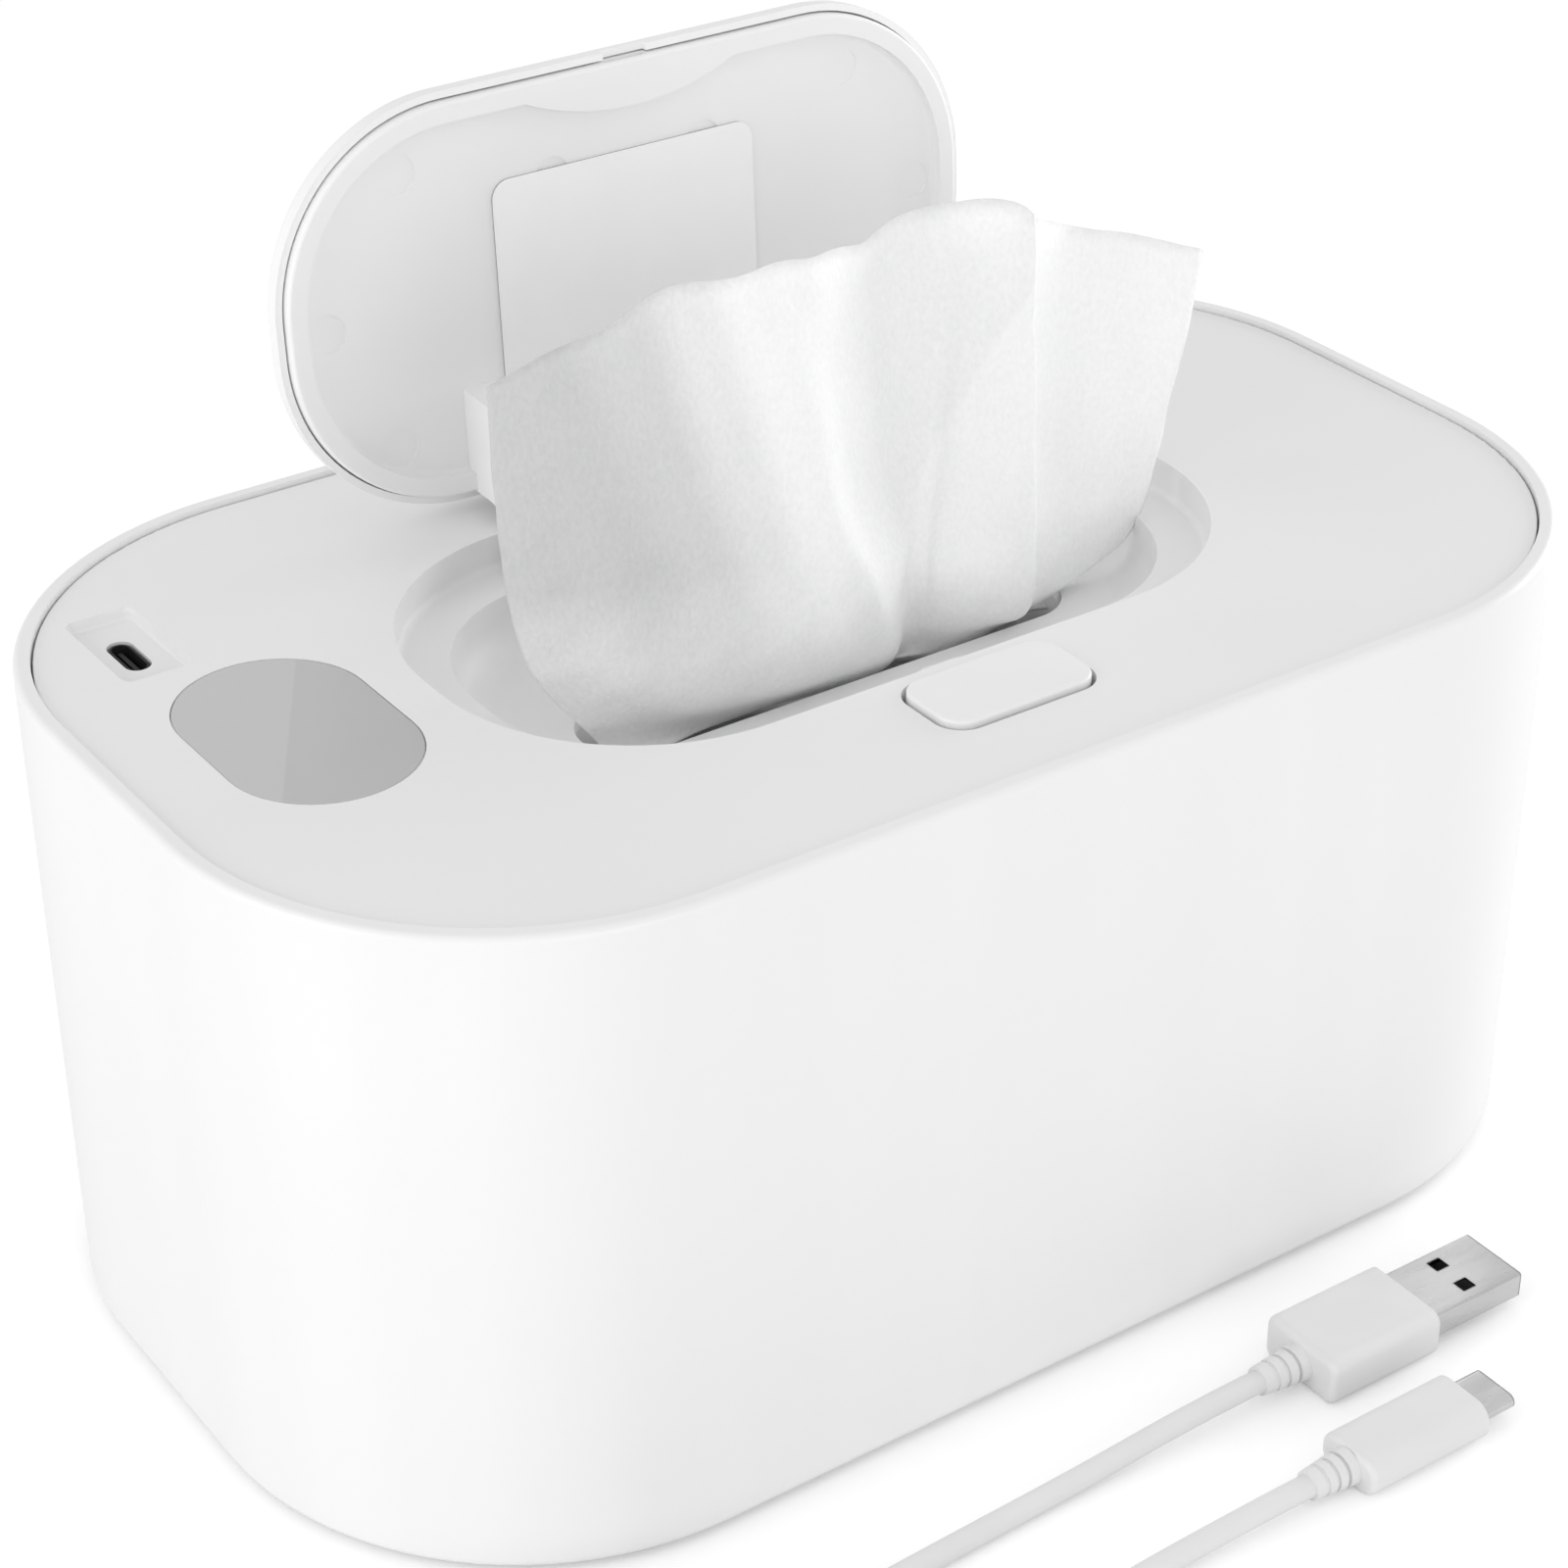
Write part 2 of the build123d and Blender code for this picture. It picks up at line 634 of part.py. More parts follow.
def gooseneck_arm():
    """Curved arm from the liner to the hinge pin, as its side profile drawn with the lid shut."""
    outer = arm_inner_radius + arm_thickness
    top = liner_floor + 0.5
    root_back = lid_back - lid_cap_wall - lid_seam_gap
    root_front = lid_back - arm_root_length
    root_low = liner_floor - arm_root_drop
    knee = (hinge_y - outer * sin(radians(45)), hinge_z - outer * cos(radians(45)))
    mid_outer = (hinge_y - outer * sin(radians(22.5)), hinge_z - outer * cos(radians(22.5)))
    foot_outer = (hinge_y, hinge_z - outer)
    foot_inner = (hinge_y, hinge_z - arm_inner_radius)
    mid_inner = (hinge_y - arm_inner_radius * sin(radians(45)), hinge_z - arm_inner_radius * cos(radians(45)))
    side_inner = (hinge_y - arm_inner_radius, hinge_z)
    outline = Polyline((root_back, top), (root_front, top), (root_front + 0.8, root_low + 3.0),
                       (root_front + 3.6, root_low), knee)
    outline += ThreePointArc(knee, mid_outer, foot_outer)
    outline += Line(foot_outer, foot_inner)
    outline += ThreePointArc(foot_inner, mid_inner, side_inner)
    outline += Line(side_inner, (root_back, top))
    start = arm_x - arm_width / 2
    arm = extrude(Plane.YZ.offset(start) * make_face(outline), arm_width)
    spoke = block(start, start + arm_width, hinge_y - arm_spoke / 2, hinge_y + arm_spoke / 2,
                  hinge_z - outer, hinge_z)
    barrel = rod(barrel_radius, start, start + arm_width, hinge_y, hinge_z)
    arm = arm + spoke + barrel
    return arm - rod(pin_radius + pin_gap / 2, start - 1, start + arm_width + 1, hinge_y, hinge_z)


def make_lid_inner():
    liner = rounded(*liner_outline, border_face, panel_top - lid_cap_plate, y=recess_y)
    liner = fillet(lowest(liner).edges(), liner_edge_round)
    tray = rounded(*grown(*liner_outline, -liner_border_width), border_face - 1, liner_floor, y=recess_y)
    bulge_radius = (bulge_half_length**2 + bulge_depth**2) / (2 * bulge_depth)
    border_inside = lid_front + lid_cap_wall + lid_seam_gap + liner_border_width
    bulge = post(bulge_radius, border_face - 2, liner_floor + 1, 0, border_inside + bulge_depth - bulge_radius)
    tray -= bulge
    liner -= fillet(highest(tray).edges(), 0.8)
    for x, along in mark_places:
        for side in (-1, 1):
            liner -= post(mark_diameter / 2, liner_floor - 1, liner_floor + mark_depth, side * x, lid_back - along)
    arm = gooseneck_arm()
    liner += arm
    liner += mirror(arm, about=Plane.YZ)
    return liner - catch_slot()


def make_hinge_pin():
    reach = arm_x + arm_width / 2 + hinge_pocket_gap + hinge_pocket_wall + 0.4
    pin = rod(pin_radius, -reach, reach, hinge_y, hinge_z)
    return chamfer(pin.edges().filter_by(GeomType.CIRCLE), 0.3)


def lid_leg_x():
    """Middle of the spring leg that turns with the lid, close beside the left arm."""
    return -(arm_x - arm_width / 2) + spring_wire / 2 + 0.1


def make_hinge_spring():
    """Torsion spring on the pin beside the left arm, with the leg that bears on the panel."""
    inner_end = lid_leg_x() + spring_wire + 0.1
    pitch = (spring_bay_length - 4 * spring_wire) / spring_turns
    helix = Helix(pitch, pitch * spring_turns, spring_radius)
    coil = sweep(Plane(helix @ 0, z_dir=helix % 0) * RegularPolygon(spring_wire / 2, 6), helix, is_frenet=True)
    coil = Pos(inner_end, hinge_y, hinge_z) * Rot(0, 90, 0) * coil
    far_end = inner_end + pitch * spring_turns
    leg = post(spring_wire / 2, hinge_z, panel_under - 0.1, far_end, hinge_y - spring_radius)
    return coil + leg


def make_hinge_spring_leg():
    """The spring's lid leg, which runs along the arm's spoke and hooks behind it."""
    x, y = lid_leg_x(), hinge_y + arm_spoke / 2 + spring_wire / 2 + 0.1
    leg = post(spring_wire / 2, hinge_z - spring_leg, hinge_z, x, y)
    return leg + rod(spring_wire / 2, x - 2.5, x, y, hinge_z - spring_leg)


def make_latch_button():
    top = panel_top + button_proud
    under = top - button_plate
    button = rounded(button_length, button_width, button_radius, button_skirt_bottom, top, y=button_y)
    button = fillet(highest(button).edges(), button_edge_round)
    button -= rounded(*grown(button_length, button_width, button_radius, -button_wall),
                      button_skirt_bottom - 1, under, y=button_y)
    back = button_y + button_width / 2
    notch = slide_half_width + 0.5
    button -= block(-notch, notch, back - button_wall - 1, back + 1, button_skirt_bottom - 1, under)
    for side in (-1, 1):
        edge = side * button_length / 2
        barb = block(min(edge - side, edge + side * barb_reach), max(edge - side, edge + side * barb_reach),
                     button_y - barb_width / 2, button_y + barb_width / 2,
                     panel_under - 0.2 - barb_height, panel_under - 0.2)
        barb_low = barb.edges().filter_by(Axis.Y).sort_by(Axis.Z)[:2].sort_by(Axis.X)[-1 if side > 0 else 0]
        button += chamfer(barb_low, barb_reach * 0.7)
        x0, x1 = side * leg_inner, side * (leg_inner + leg_thickness)
        leg = block(min(x0, x1), max(x0, x1), button_y - leg_width / 2, button_y + leg_width / 2, leg_bottom, under + 0.5)
        button += leg
    run = button_travel * 2 ** 0.5
    radius = trunnion_radius + trunnion_gap
    cam = SlotOverall(run + 2 * radius, 2 * radius)
    cam_middle = (button_y - button_travel / 2, trunnion_z + button_travel / 2)
    cut = Plane.YZ.offset(-leg_inner - leg_thickness - 1) * (Pos(*cam_middle) * Rot(0, 0, 135) * cam)
    return button - extrude(cut, 2 * (leg_inner + leg_thickness + 1))


def make_latch_slide():
    nose_tip = lid_front + nose_bite
    fork_end = button_y - fork_tail
    bar_front = button_y + button_width / 2 - button_wall - 0.6
    low = slide_top - slide_thickness
    slide = block(-slide_half_width, slide_half_width, bar_front, nose_tip - 2.6, low, slide_top)
    nose = block(-nose_half_width, nose_half_width, nose_tip - 3.0, nose_tip, low, slide_top)
    nose = chamfer(nose.edges().filter_by(Axis.X).sort_by(Axis.Z)[-2:].sort_by(Axis.Y)[-1], nose_bevel)
    slide += nose
    for side in (-1, 1):
        x0, x1 = side * fork_inner, side * slide_half_width
        slide += block(min(x0, x1), max(x0, x1), fork_end, bar_front + 1.2, fork_bottom, slide_top)
        end = side * (cheek_inner + cheek_thickness)
        slide += rod(trunnion_radius, min(x1 - side, end), max(x1 - side, end), button_y, trunnion_z)
    return slide


def make_latch_bracket():
    low = bracket_top - bracket_plate
    bracket = rounded(2 * bracket_half_length, cheek_width, 2.5, low, bracket_top, y=button_y)
    for side in (-1, 1):
        x0, x1 = side * cheek_inner, side * (cheek_inner + cheek_thickness)
        bracket += block(min(x0, x1), max(x0, x1), button_y - cheek_width / 2 + 0.5,
                         button_y + cheek_width / 2 - 0.5, bracket_top, slide_top)
        bracket -= post(screw_shank / 2 + screw_bore_gap, low - 1, bracket_top + 1, side * bracket_screw_x, button_y)
    radius = trunnion_radius + trunnion_gap
    track = SlotOverall(button_travel + 2 * radius, 2 * radius)
    cut = Plane.YZ.offset(-bracket_half_length) * (Pos(button_y - button_travel / 2, trunnion_z) * track)
    bracket -= extrude(cut, 2 * bracket_half_length)
    return bracket + post(spring_post_radius, bracket_top, bracket_top + spring_post_height, 0, button_y)


def make_bracket_screws():
    seat = bracket_top - bracket_plate
    return Compound(children=[screw(side * bracket_screw_x, button_y, seat, 6.0) for side in (-1, 1)])


def make_button_spring():
    low = bracket_top + button_spring_wire / 2
    high = panel_top + button_proud - button_plate - button_spring_wire / 2
    pitch = (high - low) / button_spring_turns
    helix = Helix(pitch, high - low, button_spring_radius)
    coil = sweep(Plane(helix @ 0, z_dir=helix % 0) * RegularPolygon(button_spring_wire / 2, 6), helix, is_frenet=True)
    return Pos(0, button_y, low) * coil


# ---- wipe ---------------------------------------------------------------------------------------
def make_wipe():
    sections = []
    count = len(wipe_waves) - 1
    for height, half_width, wave, middle_x, middle_y in wipe_sections:
        front = [(middle_x + half_width * (2 * i / count - 1), middle_y + wave * w - wipe_thickness / 2)
                 for i, w in enumerate(wipe_waves)]
        back = [(x, y + wipe_thickness) for x, y in reversed(front)]
        sections.append(Pos(0, 0, height) * make_face(Polyline(*front, *back, close=True)))
    return loft(sections, ruled=True)


# ---- charging cable -------------------------------------------------------------------------------
def corner_radii(route):
    """Largest arc that each corner of a cord's route has room for."""
    points = [Vector(*point) for point in route]
    radii = []
    for before, corner, after in zip(points, points[1:], points[2:]):
        turn = (corner - before).get_angle(after - corner)
        shorter = min((corner - before).length, (after - corner).length)
        radii.append(0.45 * shorter / tan(radians(turn) / 2))
    return radii


def make_coil():
    section = RectangleRounded(coil_width, coil_height, cord_diameter)
    profile = Plane.XZ * (Pos(coil_radius, coil_height / 2 + table_gap) * section)
    ring = revolve(profile, Axis.Z)
    return Pos(*coil_middle, 0) * ring


def make_lead(route, coil, name):
    radii = corner_radii(route)
    path = FilletPolyline(*route, radius=radii)
    tube = sweep(Plane(path @ 0, z_dir=path % 0) * Circle(cord_diameter / 2), path)
    expected = path.length * pi * cord_diameter**2 / 4
    print(name, "length", round(path.length, 1), "radii", [round(r) for r in radii],
          "volume ratio", round(tube.volume / expected, 3))
    return tube - coil


def strain_relief(start, length, y, z):
    """Tapered sleeve where the cord enters a plug, with three flex grooves."""
    wide = Plane.YZ.offset(start + length) * (Pos(y, z) * Circle(relief_radius))
    narrow = Plane.YZ.offset(start) * (Pos(y, z) * Circle(cord_diameter / 2 + 0.5))
    sleeve = loft([narrow, wide])
    for number in range(3):
        x = start + length * (0.25 + 0.25 * number)
        groove = rod(relief_radius + 1, x - 0.3, x + 0.3, y, z) - rod(cord_diameter / 2 + 0.5, x - 1, x + 1, y, z)
        sleeve -= groove
    return sleeve


def make_plug_a():
    length, width, height = plug_a_body
    middle = height / 2
    body_start = plug_a_relief_start + plug_a_relief
    body = extrude(Plane.YZ.offset(body_start) * (Pos(plug_a_y, middle) * RectangleRounded(width, height, plug_a_round)), length)
    body = fillet(body.faces().sort_by(Axis.X)[0].edges(), 1.2)
    relief = strain_relief(plug_a_relief_start, plug_a_relief, plug_a_y, middle)
    reach, shell_width, shell_height = plug_a_shell
    shell_start = body_start + length
    outline = RectangleRounded(shell_width, shell_height, 0.5)
    bore = RectangleRounded(shell_width - 2 * plug_a_wall, shell_height - 2 * plug_a_wall, 0.3)
    shell = extrude(Plane.YZ.offset(shell_start) * (Pos(plug_a_y, middle) * outline), reach)
    shell -= extrude(Plane.YZ.offset(shell_start + 1) * (Pos(plug_a_y, middle) * bore), reach)
    for side in (-1, 1):
        x, y = shell_start + 0.52 * reach, plug_a_y + side * 2.9
        shell -= block(x - 1.2, x + 1.2, y - 1.15, y + 1.15, 0, height)
    tongue = block(shell_start + 1, shell_start + reach - 0.8, plug_a_y - 5.3, plug_a_y + 5.3,
                   middle - shell_height / 2 + plug_a_wall, middle - shell_height / 2 + plug_a_wall + 1.9)
    return body, relief, shell, tongue


def make_plug_c():
    length, width, height = plug_c_body
    middle = height / 2
    body_start = plug_c_relief_start + plug_c_relief
    body = extrude(Plane.YZ.offset(body_start) * (Pos(plug_c_y, middle) * RectangleRounded(width, height, height / 2 - 0.3)), length)
    body = fillet(body.faces().sort_by(Axis.X)[0].edges(), 1.0)
    relief = strain_relief(plug_c_relief_start, plug_c_relief, plug_c_y, middle)
    reach, shell_width, shell_height = plug_c_shell
    shell_start = body_start + length
    shell = extrude(Plane.YZ.offset(shell_start) * (Pos(plug_c_y, middle) * SlotOverall(shell_width, shell_height)), reach)
    bore = SlotOverall(shell_width - 2 * plug_c_wall, shell_height - 2 * plug_c_wall)
    shell -= extrude(Plane.YZ.offset(shell_start + 0.8) * (Pos(plug_c_y, middle) * bore), reach)
    return body, relief, shell


def main():
    os.makedirs("parts", exist_ok=True)
    pieces = {
        "outer_shell": make_outer_shell(),
        "base_cover": make_base_cover(),
        "rubber_feet": make_rubber_feet(),
        "base_screws": make_base_screws(),
        "inner_tub": make_inner_tub(),
        "insulation_sleeve": make_insulation_sleeve(),
        "insulation_pad": make_insulation_pad(),
        "cover_seal": make_cover_seal(),
        "top_cover": make_top_cover(),
        "heater_carrier": make_heater_carrier(),
        "heating_plate": make_heating_plate(),
        "heating_film": make_heating_film(),
        "plate_screws": make_plate_screws(),
        "cover_screws": make_cover_screws(),
        "thermistor": make_thermistor(),
        "thermal_fuse": make_thermal_fuse(),
        "main_board": make_main_board(),
        "board_screws": make_board_screws(),
        "control_chip": make_control_chip(),
        "led_display": make_led_display(),
        "display_lens": make_display_lens(),
        "usb_c_socket": make_usb_c_socket(),
        "usb_c_tongue": make_usb_c_tongue(),
        "heater_leads": make_heater_leads(),
        "lid_outer": open_lid(make_lid_outer()),
        "lid_inner": open_lid(make_lid_inner()),
        "hinge_pin": make_hinge_pin(),
        "hinge_spring": make_hinge_spring(),
        "hinge_spring_leg": open_lid(make_hinge_spring_leg()),
        "latch_button": make_latch_button(),
        "latch_slide": make_latch_slide(),
        "latch_bracket": make_latch_bracket(),
        "bracket_screws": make_bracket_screws(),
        "button_spring": make_button_spring(),
        "wipe": make_wipe(),
    }
    coil = make_coil()
    pieces["cord_coil"] = coil
    pieces["cord_lead_a"] = make_lead(lead_a_route, coil, "lead to plug A")
    pieces["cord_lead_c"] = make_lead(lead_c_route, coil, "lead to plug C")
    for name, piece in zip(("plug_a_body", "plug_a_relief", "plug_a_shell", "plug_a_tongue"), make_plug_a()):
        pieces[name] = piece
    for name, piece in zip(("plug_c_body", "plug_c_relief", "plug_c_shell"), make_plug_c()):
        pieces[name] = piece
    for name, piece in pieces.items():
        export_step(piece, f"parts/{name}.step")


main()
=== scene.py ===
"""Looks of the baby wipe warmer: camera, light, finishes, moist wipe, cable and sticker.

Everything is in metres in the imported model's own frame: +X along the body, -Y the front, +Z up.
"""
import json
from math import cos, pi, radians, sin

import bpy
import numpy as np
from mathutils import Matrix, Vector


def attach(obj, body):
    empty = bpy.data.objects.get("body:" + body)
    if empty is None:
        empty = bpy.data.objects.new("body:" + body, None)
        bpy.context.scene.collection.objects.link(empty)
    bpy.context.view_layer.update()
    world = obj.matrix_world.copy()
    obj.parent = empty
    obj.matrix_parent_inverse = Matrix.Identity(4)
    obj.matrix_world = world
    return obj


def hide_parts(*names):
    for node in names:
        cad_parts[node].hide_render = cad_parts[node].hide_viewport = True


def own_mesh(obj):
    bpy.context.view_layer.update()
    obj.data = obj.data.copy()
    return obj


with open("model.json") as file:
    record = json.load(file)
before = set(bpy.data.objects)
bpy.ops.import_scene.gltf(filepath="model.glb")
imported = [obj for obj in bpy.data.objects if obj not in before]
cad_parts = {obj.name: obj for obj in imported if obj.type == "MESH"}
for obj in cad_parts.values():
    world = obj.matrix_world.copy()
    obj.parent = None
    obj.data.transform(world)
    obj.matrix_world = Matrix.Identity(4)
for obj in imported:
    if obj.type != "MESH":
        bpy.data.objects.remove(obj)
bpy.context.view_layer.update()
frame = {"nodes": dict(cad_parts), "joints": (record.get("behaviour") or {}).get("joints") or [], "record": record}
mm = 0.001

# ---- camera ---------------------------------------------------------------------------------
camera_place = Vector((-0.2727, -0.3886, 0.3521))
camera_heading = 34.57      # degrees from +Y towards +X
camera_tilt = -30.97        # below the horizon
camera_roll = -0.31
camera_lens = 82.35


def add_camera():
    data = bpy.data.cameras.new("photo_camera")
    data.lens = camera_lens
    data.sensor_width = 36.0
    data.clip_start = 0.01
    camera = bpy.data.objects.new("photo_camera", data)
    bpy.context.collection.objects.link(camera)
    turn = Matrix.Rotation(radians(-camera_heading), 4, "Z")
    turn @= Matrix.Rotation(radians(90 + camera_tilt), 4, "X")
    turn @= Matrix.Rotation(radians(camera_roll), 4, "Z")
    camera.matrix_world = Matrix.Translation(camera_place) @ turn
    bpy.context.scene.camera = camera


# ---- node helpers ---------------------------------------------------------------------------
def srgb(grey, tint=(1.0, 1.0, 1.0)):
    """Linear colour of an 8-bit sRGB grey, with a tint per channel."""
    c = grey / 255
    linear = c / 12.92 if c <= 0.04045 else ((c + 0.055) / 1.055) ** 2.4
    return tuple(linear * t for t in tint) + (1.0,)


class Finish:
    """A procedural material built around one Principled shader, in object coordinates."""

    def __init__(self, name, colour, roughness, metallic=0.0, specular=0.5):
        self.material = bpy.data.materials.new(name)
        self.material.use_nodes = True
        self.nodes = self.material.node_tree.nodes
        self.links = self.material.node_tree.links
        self.shader = self.nodes["Principled BSDF"]
        self.shader.inputs["Base Color"].default_value = colour
        self.shader.inputs["Roughness"].default_value = roughness
        self.shader.inputs["Metallic"].default_value = metallic
        self.shader.inputs["Specular IOR Level"].default_value = specular
        self.colour, self.roughness = colour, roughness
        self.place = self.nodes.new("ShaderNodeTexCoord").outputs["Object"]
        self.normal = None
        self.tone = None

    def edges(self, width):
        """0 on flat faces, rising to 0.3 at edges within `width` metres."""
        rounded = self.nodes.new("ShaderNodeBevel")
        rounded.inputs["Radius"].default_value = width
        flat = self.nodes.new("ShaderNodeNewGeometry")
        agree = self.nodes.new("ShaderNodeVectorMath")
        agree.operation = "DOT_PRODUCT"
        self.links.new(rounded.outputs["Normal"], agree.inputs[0])
        self.links.new(flat.outputs["Normal"], agree.inputs[1])
        return self.ranged(agree.outputs["Value"], 1.0, 0.7, 0.0, 0.3)

    def stretched(self, scale):
        mapping = self.nodes.new("ShaderNodeMapping")
        mapping.inputs["Scale"].default_value = scale
        self.links.new(self.place, mapping.inputs["Vector"])
        return mapping.outputs["Vector"]

    def noise(self, grain, detail=3.0, stretch=(1, 1, 1)):
        """Noise whose blobs are about `grain` metres wide."""
        node = self.nodes.new("ShaderNodeTexNoise")
        node.inputs["Scale"].default_value = 1.0
        node.inputs["Detail"].default_value = detail
        scale = tuple(s / grain for s in stretch)
        self.links.new(self.stretched(scale), node.inputs["Vector"])
        return node.outputs["Fac"]

    def cells(self, grain, stretch=(1, 1, 1)):
        node = self.nodes.new("ShaderNodeTexVoronoi")
        node.inputs["Scale"].default_value = 1.0
        scale = tuple(s / grain for s in stretch)
        self.links.new(self.stretched(scale), node.inputs["Vector"])
        return node.outputs["Distance"]

    def slanted(self, direction):
        """How far along a direction a point lies."""
        node = self.nodes.new("ShaderNodeVectorMath")
        node.operation = "DOT_PRODUCT"
        node.inputs[1].default_value = direction
        self.links.new(self.place, node.inputs[0])
        return node.outputs["Value"]

    def ranged(self, value, low, high, new_low, new_high):
        node = self.nodes.new("ShaderNodeMapRange")
        numbers = {"From Min": low, "From Max": high, "To Min": new_low, "To Max": new_high}
        for name, number in numbers.items():
            node.inputs[name].default_value = number
        self.links.new(value, node.inputs["Value"])
        return node.outputs["Result"]

    def mottle(self, value, other, low=0.35, high=0.65, blend="MIX"):
        """Shades the colour towards another one, or by it, where the value is high."""
        node = self.nodes.new("ShaderNodeMix")
        node.data_type = "RGBA"
        node.blend_type = blend
        self.links.new(self.ranged(value, low, high, 0.0, 1.0), node.inputs["Factor"])
        node.inputs["B"].default_value = other
        if self.tone:
            self.links.new(self.tone, node.inputs["A"])
        else:
            node.inputs["A"].default_value = self.colour
        self.tone = node.outputs["Result"]
        self.links.new(self.tone, self.shader.inputs["Base Color"])
        return self

    def gloss(self, value, spread):
        """Varies the roughness about its middle value."""
        result = self.ranged(value, 0.3, 0.7, self.roughness - spread, self.roughness + spread)
        self.links.new(result, self.shader.inputs["Roughness"])
        return self

    def bump(self, value, height, strength=1.0):
        """Adds relief of about `height` metres."""
        node = self.nodes.new("ShaderNodeBump")
        node.inputs["Strength"].default_value = strength
        node.inputs["Distance"].default_value = height
        self.links.new(value, node.inputs["Height"])
        if self.normal:
            self.links.new(self.normal, node.inputs["Normal"])
        self.normal = node.outputs["Normal"]
        self.links.new(self.normal, self.shader.inputs["Normal"])
        return self


# ---- materials, one per slot of the record ------------------------------------------------------
def moulded(name, grey, roughness, grain, relief):
    """Injection-moulded plastic: fine grain, faint flow tone and slightly uneven gloss."""
    finish = Finish(name, srgb(grey), roughness)
    finish.mottle(finish.noise(45 * mm, 1.0), srgb(grey - 2), 0.3, 0.7)
    finish.gloss(finish.noise(20 * mm, 1.0), 0.02)
    finish.bump(finish.noise(grain, 1.0), relief, 0.4)
    return finish


def shell_white():
    """Gloss white wall with the faint upright flow lines of a deep moulding."""
    finish = moulded("shell_white", 243, 0.34, 1.6 * mm, 0.0015 * mm)
    finish.mottle(finish.noise(14 * mm, 1.0, (1, 1, 0.03)), srgb(240), 0.3, 0.8)
    return finish


def cover_grey():
    return moulded("cover_grey", 240, 0.45, 0.6 * mm, 0.002 * mm)


def inner_white():
    return moulded("inner_white", 238, 0.5, 0.6 * mm, 0.002 * mm)


def insulation_foam():
    finish = Finish("insulation_foam", srgb(214, (1, 1, 0.97)), 0.95)
    finish.mottle(finish.cells(1.6 * mm), srgb(196, (1, 1, 0.96)), 0.1, 0.7)
    return finish.bump(finish.cells(1.6 * mm), 0.3 * mm)


def rubber(name, grey, roughness=0.7):
    """Matte moulded or painted surface with a fine skin."""
    finish = Finish(name, srgb(grey), roughness)
    finish.mottle(finish.noise(5 * mm), srgb(grey - 8))
    return finish.bump(finish.noise(0.25 * mm), 0.01 * mm)


def metal(name, grey, roughness, grain=(1, 1, 1)):
    """Metal whose tone and gloss vary along its grain."""
    finish = Finish(name, srgb(grey), roughness, metallic=1.0)
    finish.mottle(finish.noise(3 * mm, 3.0, grain), srgb(grey - 14))
    finish.gloss(finish.noise(1.2 * mm, 4.0, grain), 0.06)
    return finish.bump(finish.noise(0.2 * mm, 2.0, grain), 0.002 * mm)


def connector_metal():
    """Bright nickel plate of the plugs' shells, with painted shade along the folded edges."""
    finish = metal("connector_metal", 222, 0.24, (0.15, 1, 1))
    # painted shade: the folded edges are coloured dark grey
    return finish.mottle(finish.edges(0.5 * mm), srgb(70), 0.01, 0.12)


def socket_black_and_shade():
    """Near black: the plastic tongue's own colour, and painted shade on the steel shell deep in the socket's
    mouth.
    """
    # painted shade on the socket's steel shell; the tongue is black plastic
    finish = Finish("socket_black_and_shade", srgb(24), 0.6)
    finish.mottle(finish.noise(0.8 * mm), srgb(16))
    return finish.bump(finish.noise(0.2 * mm), 0.005 * mm)


def film_amber():
    finish = Finish("film_amber", (0.42, 0.16, 0.02, 1.0), 0.3)
    return finish.mottle(finish.cells(6 * mm, (0.2, 1, 1)), (0.55, 0.25, 0.04, 1.0), 0.2, 0.4)


def circuit_board():
    finish = Finish("circuit_board", (0.012, 0.12, 0.05, 1.0), 0.4)
    return finish.mottle(finish.cells(4 * mm), (0.03, 0.2, 0.08, 1.0), 0.1, 0.3)


# painted reflection on the display window: lighter on one side of a slant, darker on the other
lens_reflection_slant = (0.86, -0.51, 0.0)
lens_reflection_step = -75.2 * mm      # place of the painted reflection's edge along the slant
lens_reflection_step_width = 0.4 * mm
lens_reflection_fade_width = 22 * mm


def lens_grey():
    """Smoked display window with a painted reflection: its tone steps down at a slant and then fades further."""
    finish = Finish("lens_grey", srgb(198), 0.16)
    across = finish.slanted(lens_reflection_slant)
    finish.mottle(across, srgb(191), lens_reflection_step, lens_reflection_step + lens_reflection_step_width)
    finish.mottle(across, srgb(185), lens_reflection_step, lens_reflection_step + lens_reflection_fade_width)
    return finish.bump(finish.noise(14 * mm), 0.01 * mm)


wipe_middle = 94 * mm       # height at which both slants of the painted shading are measured
crest_slant = (1.0, 0.0, 0.24)
crest_shade_and_highlight = [             # millimetres to the right of the main crest, and the grey there: painted shade on the left panel, a painted highlight on the crest
    (-60, 204), (-30, 205), (-20, 215), (-11, 237), (-3, 255), (4, 255), (9, 248), (60, 249),
]
fold_slant = (1.0, 0.0, -0.60)
fold_highlight_place = 4.6            # millimetres, where the painted highlight on the fold begins
fold_blur = 0.5 * mm
low_painted_light_top, low_painted_light_bottom = 118 * mm, 94 * mm       # painted light: the cloth is painted lighter downwards between these heights, against the shade of the well
fibre_grain = 0.7 * mm
damp_grain = 7 * mm         # patches of damper cloth
fibre_shade = (0.92, 0.923, 0.925, 1.0)
damp_shade = (0.98, 0.983, 0.985, 1.0)


